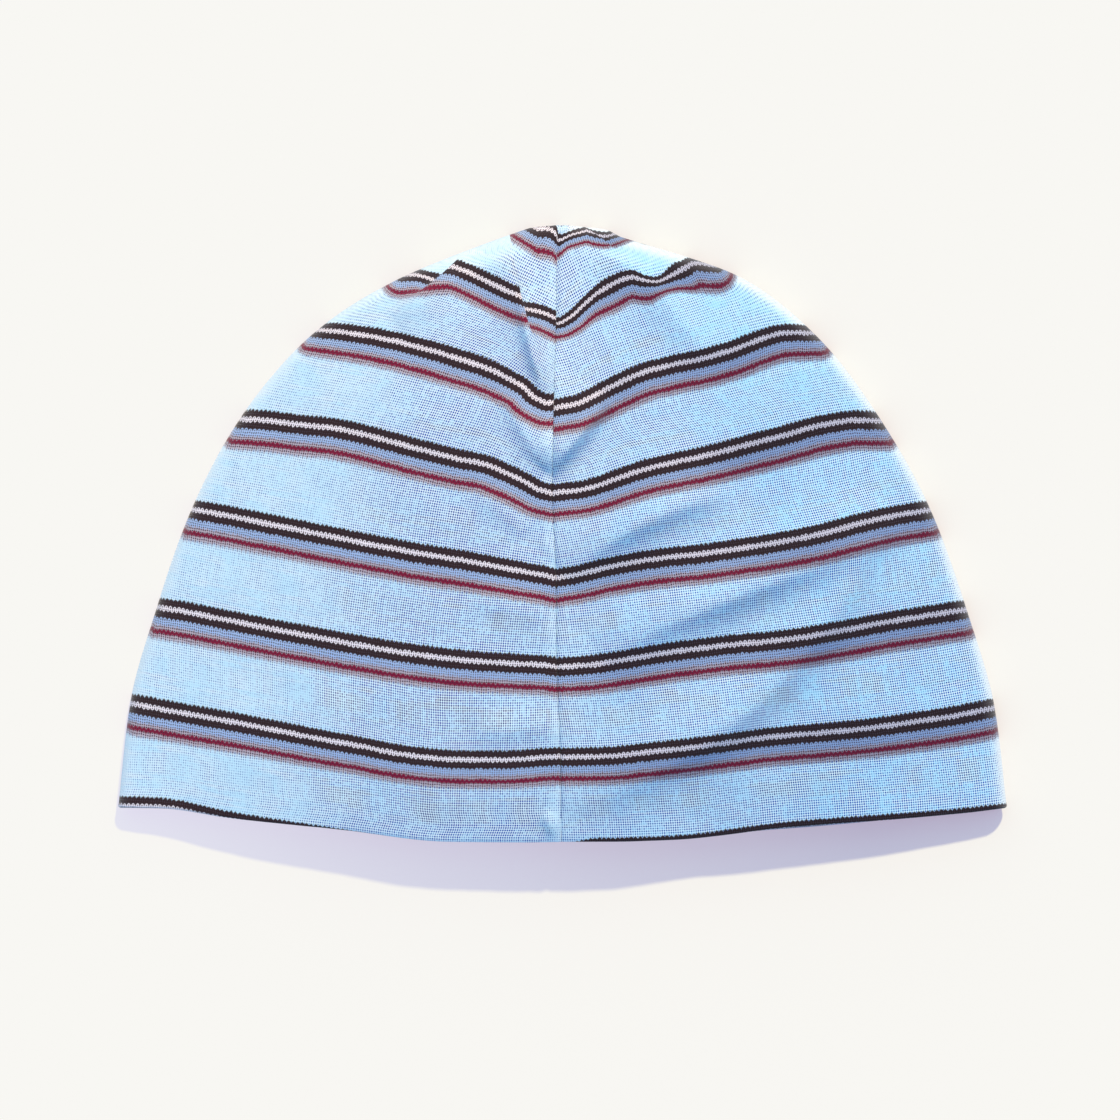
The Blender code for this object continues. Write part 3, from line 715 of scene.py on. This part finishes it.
def panel_mesh(shape, name):
    """One side panel as a closed wall: outer skin, rounded hem lip, inner skin, seam edges."""
    sizes = shape.sizes
    outer = shape.outer
    rows = len(outer)
    wall = sizes.wall
    inner_rows = list(range(0, rows - 1, INNER_STEP)) + [rows - 1]
    down = unit(outer[0] - outer[1])
    layers = []
    knit = []

    def add_layer(points, i, extra=0.0):
        layers.append(points)
        values = [shape.knit[label][i] for label in KNIT_VALUES]
        values[0] = values[0] + extra
        knit.append(values)

    for i in range(rows - 1, -1, -1):
        add_layer(outer[i], i)
    for angle in LIP_ANGLES:
        through = (1 - math.cos(math.radians(angle))) / 2
        out = math.sin(math.radians(angle)) * sizes.hem_roll
        add_layer(outer[0] - through * wall * shape.normals[0] + out * down, 0,
                  -angle / 180 * LIP_LENGTH * wall / sizes.repeat)
    for i in inner_rows:
        add_layer(outer[i] - wall * shape.normals[i], i, -LIP_LENGTH * wall / sizes.repeat)
    return weave_mesh(shape, name, np.array(layers), np.array(knit), rows, inner_rows)


def weave_mesh(shape, name, points, values, rows, inner_rows):
    """Faces between the layers, the two skins each closed along the crown."""
    layers, columns = points.shape[:2]
    front = {place: j for j, place in enumerate(shape.places) if place[0].startswith("front")}
    match = [front[(kind.replace("back", "front"), value)] for kind, value in shape.places]
    index = np.arange(layers * columns).reshape(layers, columns)
    for top in (0, layers - 1):
        index[top] = index[top][match]
    faces = []
    for a in range(layers - 1):
        crown = a == 0 or a == layers - 2
        upper, lower = (a, a + 1) if a < layers - 2 else (a + 1, a)
        for j in range(columns - 1):
            if crown and shape.is_back[j + 1] and match[j] - match[j + 1] > 1:
                tops = [index[upper, k] for k in range(match[j + 1], match[j] + 1)]
                faces.append([index[lower, j], index[lower, j + 1]] + tops)
            else:
                faces.append([index[a, j], index[a, j + 1], index[a + 1, j + 1],
                              index[a + 1, j]])
    first_inner = layers - len(inner_rows)
    for j in (0, columns - 1):
        faces.append([index[a, j] for a in range(rows - 1, first_inner + 1)])
        for k in range(len(inner_rows) - 1):
            edge = [index[rows - 1 - i, j] for i in range(inner_rows[k], inner_rows[k + 1] + 1)]
            faces.append(edge + [index[first_inner + k + 1, j], index[first_inner + k, j]])
    return mesh_with_values(name, points.reshape(-1, 3), faces,
                            np.moveaxis(values, 1, -1).reshape(-1, len(KNIT_VALUES)))


def mesh_with_values(name, points, faces, values):
    """A smooth-shaded closed mesh of the points in use, with its knit values as attributes."""
    used = sorted({v for face in faces for v in face})
    renumber = {v: k for k, v in enumerate(used)}
    mesh = bpy.data.meshes.new(name)
    mesh.from_pydata(points[used].tolist(), [], [[renumber[v] for v in face] for face in faces])
    for k, label in enumerate(KNIT_VALUES):
        layer = mesh.attributes.new(label, "FLOAT", "POINT")
        layer.data.foreach_set("value", values[used, k].astype(np.float32))
    work = bmesh.new()
    work.from_mesh(mesh)
    bmesh.ops.recalc_face_normals(work, faces=work.faces)
    work.to_mesh(mesh)
    work.free()
    mesh.shade_smooth()
    return mesh


def plain_knit(sizes, points, courses):
    """The knit values of a small piece with level courses."""
    given = {"course": courses, "plain": courses, "wale": points[:, 0], "span": sizes.repeat,
             "open": 0.3}
    values = np.zeros((len(points), len(KNIT_VALUES)))
    for label, value in given.items():
        values[:, KNIT_VALUES.index(label)] = value
    return values


def strip_rings(shapes, wall):
    """Cross-sections of the seam allowance under one wall, and their courses."""
    sizes = shapes["left"].sizes
    near = sizes.wall + sizes.allowance_clearance
    half_thick = sizes.allowance_thickness / 2
    reaches = {"left": sizes.allowance_left, "right": sizes.allowance_right}
    rings = []
    for i, course in enumerate(shapes["left"].courses):
        if not ALLOWANCE_COURSES[0] <= course <= ALLOWANCE_COURSES[1]:
            continue
        fray = 1 + 0.05 * math.sin(11.0 * course) + 0.03 * math.sin(29.0 * course + 1.0)
        top, under = [], []
        for side, shape in shapes.items():
            from_seam = slice(None, shape.edge, 1 if wall == "front" else -1)
            normals = shape.normals[i][from_seam]
            middle = shape.outer[i][from_seam] - (near + half_thick) * normals
            across = shape.sign * (middle[:, 0] - middle[0, 0])
            for stop in ALLOWANCE_STOPS[side]:
                thick = half_thick * (ALLOWANCE_EDGE if stop > 0.95 else 1.0)
                at = stop * reaches[side] * fray
                point = np.array([np.interp(at, across, middle[:, k]) for k in range(3)])
                normal = np.array([np.interp(at, across, normals[:, k]) for k in range(3)])
                top.append(point + thick * normal)
                under.append(point - thick * normal)
        rings.append((course, top + under[::-1]))
    return rings


def strip_mesh(shapes, wall, name):
    """The seam allowance under one wall, a doubled strip closed at both ends."""
    rings = strip_rings(shapes, wall)
    sizes = shapes["left"].sizes
    count = len(rings[0][1])
    points = np.array([ring for course, ring in rings]).reshape(-1, 3)
    faces = [[r * count + k, r * count + (k + 1) % count, (r + 1) * count + (k + 1) % count,
              (r + 1) * count + k] for r in range(len(rings) - 1) for k in range(count)]
    faces.append(list(range(count)))
    faces.append(list(range((len(rings) - 1) * count, len(rings) * count))[::-1])
    courses = np.repeat([course for course, ring in rings], count)
    return mesh_with_values(name, points, faces, plain_knit(sizes, points, courses))


def tuft_mesh(sizes, name):
    """The tip of the seam that pokes out at the crown: a small folded tab of knit."""
    across, along, up = TIP_PLACE
    middle = Vector((across * MM, along * sizes.length, up * MM))
    wide, long, tall = TIP_RADII
    work = bmesh.new()
    bmesh.ops.create_uvsphere(work, u_segments=28, v_segments=18, radius=1.0)
    for vertex in work.verts:
        x, y, z = vertex.co
        pinch = 1 - 0.35 * rise(y, -0.2, 1.2)
        ripple = 1 + 0.10 * math.sin(5.0 * math.atan2(z, x) + 2.0 * y)
        vertex.co = middle + Vector((x * wide * MM * pinch * ripple + 0.5 * MM * y,
                                     y * long * MM, z * tall * MM * ripple - 0.3 * MM * y))
    mesh = bpy.data.meshes.new(name)
    work.to_mesh(mesh)
    work.free()
    points = np.array([vertex.co[:] for vertex in mesh.vertices])
    # The sphere's faces come in an order that changes from run to run, so they are sorted
    faces = sorted(list(polygon.vertices) for polygon in mesh.polygons)
    bpy.data.meshes.remove(mesh)
    courses = TIP_COURSE + (points[:, 1] - middle[1]) / sizes.repeat
    return mesh_with_values(name, points, faces, plain_knit(sizes, points, courses))


def add_object(name, data):
    """Link a new object to the scene."""
    added = bpy.data.objects.new(name, data)
    bpy.context.scene.collection.objects.link(added)
    return added


def add_piece(name, mesh, material, nodes=()):
    """Link a piece, give it its material, say what it rides on and hide the parts that it stands
    for.
    """
    mesh.materials.append(material)
    piece = add_object(name, mesh)
    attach(piece, "root")
    if nodes:
        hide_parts(*nodes)
    return piece


class Nodes:
    """Short calls that add and join shader nodes in one tree."""

    def __init__(self, tree):
        self.tree = tree

    def add(self, kind, inputs=(), **settings):
        node = self.tree.nodes.new(kind)
        for key, value in settings.items():
            setattr(node, key, value)
        self.fill(node, dict(inputs))
        return node

    def fill(self, node, inputs):
        """Join a socket to each named input, or give it a value."""
        for name, value in inputs.items():
            if isinstance(value, bpy.types.NodeSocket):
                self.tree.links.new(value, node.inputs[name])
            else:
                node.inputs[name].default_value = value

    def math(self, operation, *values, clamp=False):
        return self.add("ShaderNodeMath", enumerate(values), operation=operation,
                        use_clamp=clamp).outputs[0]

    def times(self, first, *others):
        for other in others:
            first = self.math("MULTIPLY", first, other)
        return first

    def plus(self, first, *others):
        for other in others:
            first = self.math("ADD", first, other)
        return first

    def rest(self, value):
        return self.math("SUBTRACT", 1.0, value)

    def swing(self, value, weight, middle=0.5):
        """How far a value lies from its middle, times a weight."""
        return self.times(self.plus(value, -middle), weight)

    def mix(self, factor, first, second, blend="MIX"):
        return self.add("ShaderNodeMix", {"Factor": factor, 6: first, 7: second},
                        data_type="RGBA", blend_type=blend).outputs[2]

    def mix_values(self, factor, first, second):
        return self.add("ShaderNodeMix", {"Factor": factor, 2: first, 3: second},
                        data_type="FLOAT").outputs[0]

    def rise(self, value, low, high):
        return self.add("ShaderNodeMapRange", {"Value": value, "From Min": low, "From Max": high},
                        interpolation_type="SMOOTHSTEP", clamp=True).outputs["Result"]

    def vector(self, x, y):
        return self.add("ShaderNodeCombineXYZ", {"X": x, "Y": y}).outputs[0]

    def noise(self, x, y, scale, detail):
        inputs = {"Vector": self.vector(x, y), "Scale": scale, "Detail": detail}
        return self.add("ShaderNodeTexNoise", inputs, noise_dimensions="2D").outputs["Fac"]

    def cell(self, x, y):
        """One value at random for each cell of a grid of whole numbers."""
        corner = self.vector(self.math("FLOOR", x), self.math("FLOOR", y))
        return self.add("ShaderNodeTexWhiteNoise", {"Vector": corner},
                        noise_dimensions="2D").outputs["Value"]

    def groove(self, value, sharpness):
        """1 at whole numbers of the value, 0 half way between them."""
        wave = self.math("COSINE", self.times(value, 2 * math.pi))
        return self.math("POWER", self.plus(self.times(wave, 0.5), 0.5), sharpness)


def knit_group(colours):
    """The striped knit: arches where yarns change, holes between stitches, ghost stripes, painted
    shade, painted sheen and painted highlights.
    """
    group = bpy.data.node_groups.new("striped_knit", "ShaderNodeTree")
    for label in (*KNIT_VALUES, "repeat", "wale_width", "holes"):
        group.interface.new_socket(label, in_out="INPUT", socket_type="NodeSocketFloat")
    for yarn in KNIT_COLOURS:
        socket = group.interface.new_socket(yarn, in_out="INPUT", socket_type="NodeSocketColor")
        socket.default_value = (*getattr(colours, yarn), 1.0)
    group.interface.new_socket("Color", in_out="OUTPUT", socket_type="NodeSocketColor")
    group.interface.new_socket("Height", in_out="OUTPUT", socket_type="NodeSocketFloat")
    n = Nodes(group)
    inside = n.add("NodeGroupInput").outputs

    course = inside["course"]
    for letter in "ab":
        side = n.math("SIGN", inside[f"pleat_{letter}"])
        course = n.math("SUBTRACT", course, n.times(side, inside[f"slip_{letter}"], 0.5))
    nearest = n.math("ROUND", course)
    below = n.times(n.math("SUBTRACT", nearest, course), inside["repeat"], 1 / MM)
    stitch = n.math("DIVIDE", inside["wale"], inside["wale_width"])

    wobble = n.noise(stitch, n.times(course, 40.0), 0.55, 1.0)
    below = n.plus(below, n.swing(wobble, YARN_WOBBLE))
    arch = n.math("POWER", n.times(n.math("PINGPONG", stitch, 0.5), 2.0), ARCH_SHARPNESS)
    toothed = n.plus(below, n.swing(arch, ARCH_HEIGHT, ARCH_MIDDLE))

    striped = n.times(n.math("GREATER_THAN", toothed, STRIPES[0][1]),
                      n.math("LESS_THAN", toothed, STRIPES[-2][1]))
    above = n.times(n.math("FRACT", inside["plain"]), inside["span"], 1 / MM)
    row = n.math("DIVIDE", n.mix_values(striped, above, below), COURSE_HEIGHT)
    half_stitch = n.times(stitch, 2.0)
    columns = n.groove(half_stitch, 1.0)
    rows = n.groove(n.plus(row, 0.5), 1.0)
    pit = n.math("POWER", n.times(columns, rows), PIT_SHARPNESS)

    fields = {}
    uneven = [n.cell(n.plus(half_stitch, 0.5), row), 0.5]
    for kind in named(NOISE_COLUMNS, NOISES):
        field = n.noise(n.times(stitch, kind["stitch"]), n.times(course, kind["repeat"]), 1.0,
                        kind["detail"])
        fields[kind["name"]] = field
        uneven.append(n.swing(field, kind["weight"]))
    patch, level = fields["patch"], fields["level"]
    opened = n.times(inside["open"], inside["holes"], n.math("MAXIMUM", n.plus(*uneven), 0.3))
    middle = n.plus(0.5, n.times(course, -GHOST_SINKS), n.swing(patch, 0.5))
    off = n.math("ABSOLUTE", n.math("SUBTRACT", n.math("FRACT", course), middle))
    ghost = n.times(n.rise(off, *GHOST_REACH), n.rise(inside["open"], 0.45, 0.7),
                    n.rise(level, 0.40, 0.62))

    colour = inside["light_blue"]
    hole = n.mix(n.times(ghost, 0.45), inside["hole"], inside["ghost"])
    strength = opened
    is_ground = 1.0
    rows_of_yarn = named(STRIPE_COLUMNS, STRIPES)
    ground_hole = hole
    for stripe, after in zip(rows_of_yarn, rows_of_yarn[1:]):
        edge, soft = stripe["edge"], stripe["soft"]
        share = n.rise(toothed, edge - soft, edge + soft)
        ground = after["yarn"] == "light_blue"
        colour = n.mix(share, colour, inside[after["yarn"]])
        hole = n.mix(share, hole, ground_hole if ground else inside[after["hole"]])
        strength = n.mix_values(share, strength, opened if ground else after["strength"])
        is_ground = n.mix_values(share, is_ground, 1.0 if ground else 0.0)

    tone = n.times(n.plus(patch, level, -1.0), 0.9)
    colour = n.mix(n.math("MULTIPLY", n.plus(0.22, tone), is_ground, clamp=True), colour,
                   inside["lit"])
    # Painted shade: the ground is multiplied by the shade colour and the stripes by the stripe
    # shade colour, as far as the painted shade share goes
    tint = n.mix(is_ground, inside["dusk"], inside["shade"])
    shaded = n.mix(1.0, colour, tint, "MULTIPLY")
    colour = n.mix(inside["deep"], colour, shaded)
    # Painted sheen: the side fold is mixed towards a pale colour, on the ground more than on the
    # stripes
    colour = n.mix(n.times(inside["pale"], n.plus(0.1, n.times(is_ground, 0.9))), colour,
                   inside["stretched"])
    # Painted highlight: the threads between the holes are mixed towards the lit colour
    threads = n.math("MULTIPLY", n.times(n.rest(columns), n.rest(rows)),
                     n.times(opened, is_ground), clamp=True)
    colour = n.mix(threads, colour, inside["lit"])
    lines = n.plus(n.times(columns, COLUMN_LINES), n.times(rows, ROW_LINES))
    holes = n.math("MULTIPLY", n.plus(n.times(pit, PIT_STRENGTH), lines), strength, clamp=True)
    height = n.rest(n.plus(n.times(pit, 0.7), n.times(columns, 0.3)))
    n.add("NodeGroupOutput", {"Color": n.mix(holes, colour, hole), "Height": height})
    return group


def knit_material(name, group, sizes, holes, rough):
    """The striped knit as a material."""
    material = bpy.data.materials.new(name)
    material.use_nodes = True
    n = Nodes(material.node_tree)
    shader = material.node_tree.nodes["Principled BSDF"]
    inputs = {"repeat": sizes.repeat, "wale_width": sizes.wale, "holes": holes}
    for label in KNIT_VALUES:
        inputs[label] = n.add("ShaderNodeAttribute", attribute_name=label).outputs["Fac"]
    for yarn in KNIT_COLOURS:
        inputs[yarn] = group.interface.items_tree[yarn].default_value
    knit = n.add("ShaderNodeGroup", inputs, node_tree=group).outputs
    bump = n.add("ShaderNodeBump", {"Height": knit["Height"], **BUMP})
    n.fill(shader, {"Base Color": knit["Color"], "Normal": bump.outputs["Normal"],
                    "Roughness": rough, **SOFT_CLOTH})
    return material


class BEANIE_OT_panels(bpy.types.Operator):
    """Build the two side panels of doubled knit, with the seam allowance and its tip"""

    bl_idname = "beanie.panels"
    bl_label = "Panels and seam"

    def execute(self, context):
        sizes = context.scene.beanie_sizes
        group = knit_group(context.scene.beanie_colours)
        shapes = {side: PanelShape(sizes, side) for side in ("left", "right")}
        seam_knit = knit_material("seam_allowance_knit", group, sizes, 0.6, 0.95)
        for wall in ("front", "back"):
            name = f"{wall}_seam_allowance"
            mesh = strip_mesh(shapes, wall, f"{name}_knit")
            add_piece(f"{name}_knit", mesh, seam_knit,
                                         [name])
        add_piece("seam_tip", tuft_mesh(sizes, "seam_tip"), seam_knit)
        for side, area in (("left", 0.0354), ("right", 0.0366)):
            slot = f"{side}_panel_knit"
            material = knit_material(slot, group, sizes, 1.0, 0.9)
            piece = add_piece(slot, panel_mesh(shapes[side], slot), material,
                              [f"{side}_panel"])
        return {"FINISHED"}


class BEANIE_OT_stage(bpy.types.Operator):
    """Add the pale floor, the soft light and the camera"""

    bl_idname = "beanie.stage"
    bl_label = "Stage"

    def execute(self, context):
        scene = context.scene
        self.add_floor(scene)
        self.add_light(scene)
        camera_data = bpy.data.cameras.new("camera")
        camera_data.lens = SENSOR_WIDTH * CAMERA_PLACE[2] / VIEW_WIDTH
        camera_data.clip_end = 20.0
        camera = add_object("camera", camera_data)
        camera.location = CAMERA_PLACE
        scene.camera = camera
        scene.view_settings.view_transform = "Standard"
        return {"FINISHED"}

    def add_floor(self, scene):
        """A wide pale floor that glows a little, so that the shadow on it stays light."""
        mesh = bpy.data.meshes.new("floor")
        corners = [(x * FLOOR_REACH, y * FLOOR_REACH, 0)
                   for x, y in ((-1, -1), (1, -1), (1, 1), (-1, 1))]
        mesh.from_pydata(corners, [], [(0, 1, 2, 3)])
        floor = add_object("floor", mesh)
        material = bpy.data.materials.new("floor")
        material.use_nodes = True
        shader = material.node_tree.nodes["Principled BSDF"]
        colour = scene.beanie_colours.floor
        n = Nodes(material.node_tree)
        place = n.add("ShaderNodeTexCoord").outputs["Object"]
        across = n.add("ShaderNodeSeparateXYZ", {"Vector": place}).outputs["X"]
        far = n.math("ADD", n.times(across, 1 / SHARES_RUN), -SHARES_START / SHARES_RUN,
                     clamp=True)
        lit, glow = [], []
        for shares in FLOOR_SHARES:
            lit.append([c * share for c, share in zip(colour, shares)] + [1.0])
            glow.append([c * (1 - FLAT_LIGHT * share) for c, share in zip(colour, shares)] + [1.0])
        n.fill(shader, {"Base Color": n.mix(far, *lit), "Emission Color": n.mix(far, *glow),
                        "Emission Strength": 1.0, "Roughness": 1.0, "Specular IOR Level": 0.0})
        mesh.materials.append(material)

    def add_light(self, scene):
        """A warm key light from behind the crown in a soft blue surround."""
        sun_data = bpy.data.lights.new("key", "SUN")
        sun_data.energy = KEY_STRENGTH
        sun_data.color = KEY_COLOUR
        sun_data.angle = math.radians(3.0)
        sun = add_object("key", sun_data)
        sun.rotation_euler = Vector(KEY_DIRECTION).to_track_quat("Z", "Y").to_euler()
        world = bpy.data.worlds.new("studio")
        world.use_nodes = True
        n = Nodes(world.node_tree)
        seen = n.add("ShaderNodeLightPath").outputs["Is Camera Ray"]
        n.fill(world.node_tree.nodes["Background"], {"Color": n.mix(seen, SURROUND, BACKDROP)})
        scene.world = world


class BEANIE_PT_panel(bpy.types.Panel):
    """The beanie's sizes, colours and pieces"""

    bl_idname = "BEANIE_PT_panel"
    bl_label = "Striped Beanie"
    bl_space_type = "VIEW_3D"
    bl_region_type = "UI"
    bl_category = "Beanie"

    def draw(self, context):
        layout = self.layout
        for group in (context.scene.beanie_sizes, context.scene.beanie_colours):
            box = layout.box()
            for name in group.__annotations__:
                box.prop(group, name)
        for operator in OPERATORS:
            layout.operator(operator.bl_idname)


OPERATORS = (BEANIE_OT_stage, BEANIE_OT_panels)
CLASSES = (BeanieSizes, BeanieColours, *OPERATORS, BEANIE_PT_panel)


def register():
    """Register the classes and hang the settings on the scene."""
    for item in CLASSES:
        bpy.utils.register_class(item)
    bpy.types.Scene.beanie_sizes = bpy.props.PointerProperty(type=BeanieSizes)
    bpy.types.Scene.beanie_colours = bpy.props.PointerProperty(type=BeanieColours)


def unregister():
    """Take the settings and the classes away again."""
    del bpy.types.Scene.beanie_colours
    del bpy.types.Scene.beanie_sizes
    for item in reversed(CLASSES):
        bpy.utils.unregister_class(item)


def main():
    """Build everything in order."""
    register()
    bpy.ops.beanie.stage()
    bpy.ops.beanie.panels()


if __name__ == "__main__":
    main()
